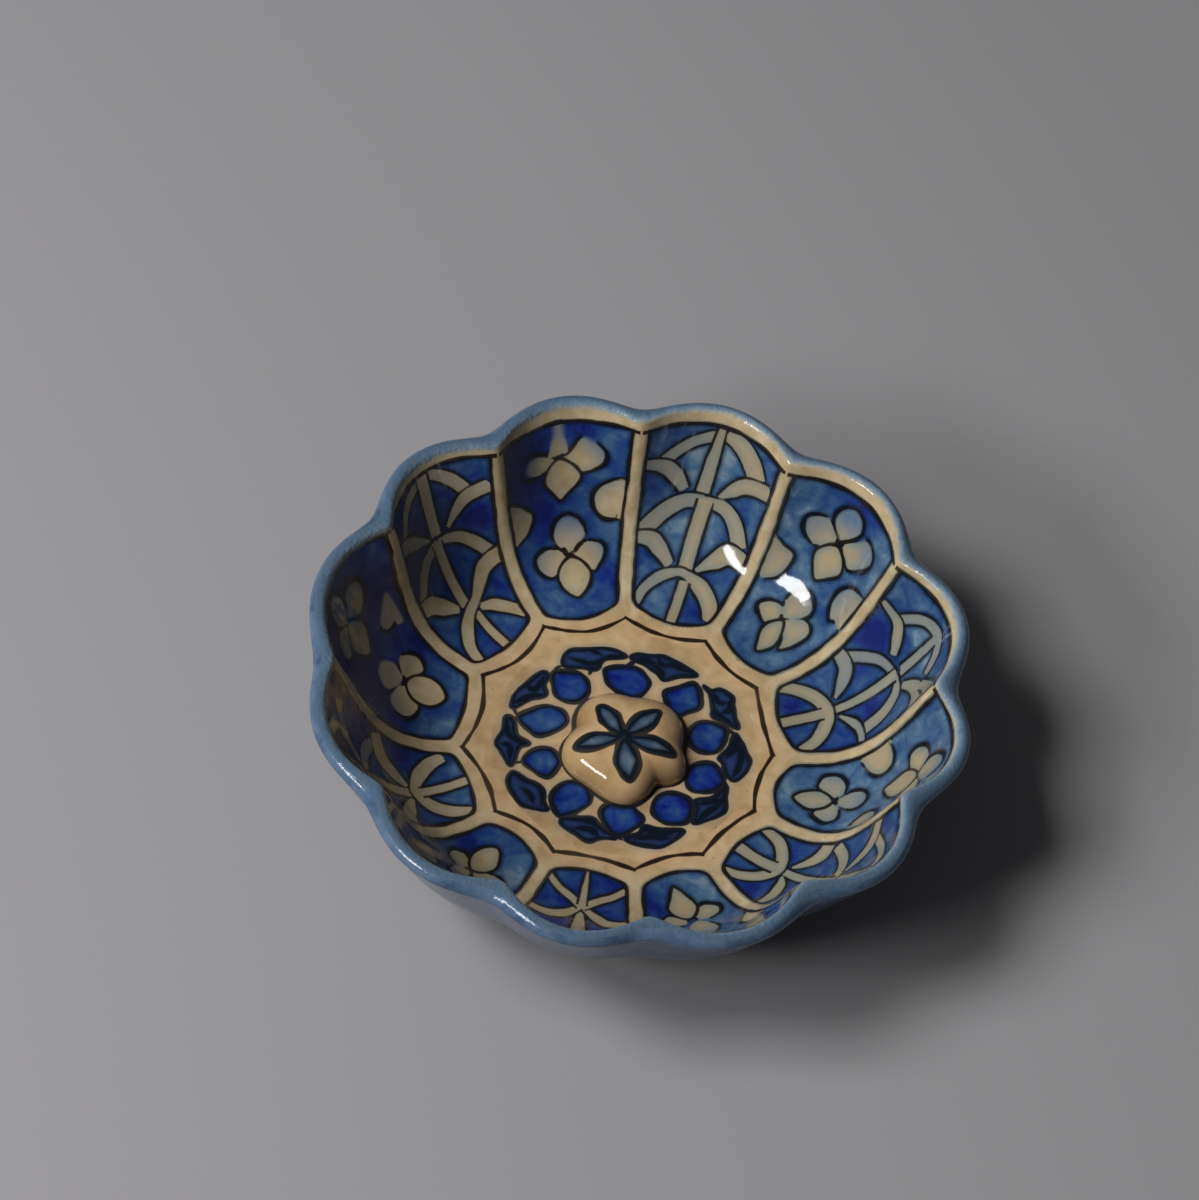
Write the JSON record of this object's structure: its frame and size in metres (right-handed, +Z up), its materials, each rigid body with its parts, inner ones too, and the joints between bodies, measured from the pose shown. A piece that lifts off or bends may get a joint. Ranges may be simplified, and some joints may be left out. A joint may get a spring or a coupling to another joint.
{
  "type": "lobed ceramic bowl",
  "caption": "Shallow scalloped bowl with a low foot ring, inner ribs between its lobes and a raised lobed boss on its floor; holds fruit, sweets or a little water on a table",
  "frame": {"origin": "middle of the foot ring's resting plane, on the table", "axes": "+Z up along the bowl's axis; +X right and +Y away from the viewer as the picture shows it"},
  "size_m": [0.148, 0.1481, 0.043],
  "materials": {
    "stonepaste": "matte",
    "cream_glaze": "gloss",
    "blue_glaze": "gloss"
  },
  "bodies": {
    "root": {"bowl_body": "stonepaste", "foot_ring": "stonepaste", "centre_boss": "stonepaste", "inner_glaze": "cream_glaze", "boss_glaze": "cream_glaze", "outer_glaze": "blue_glaze"}
  },
  "joints": []
}
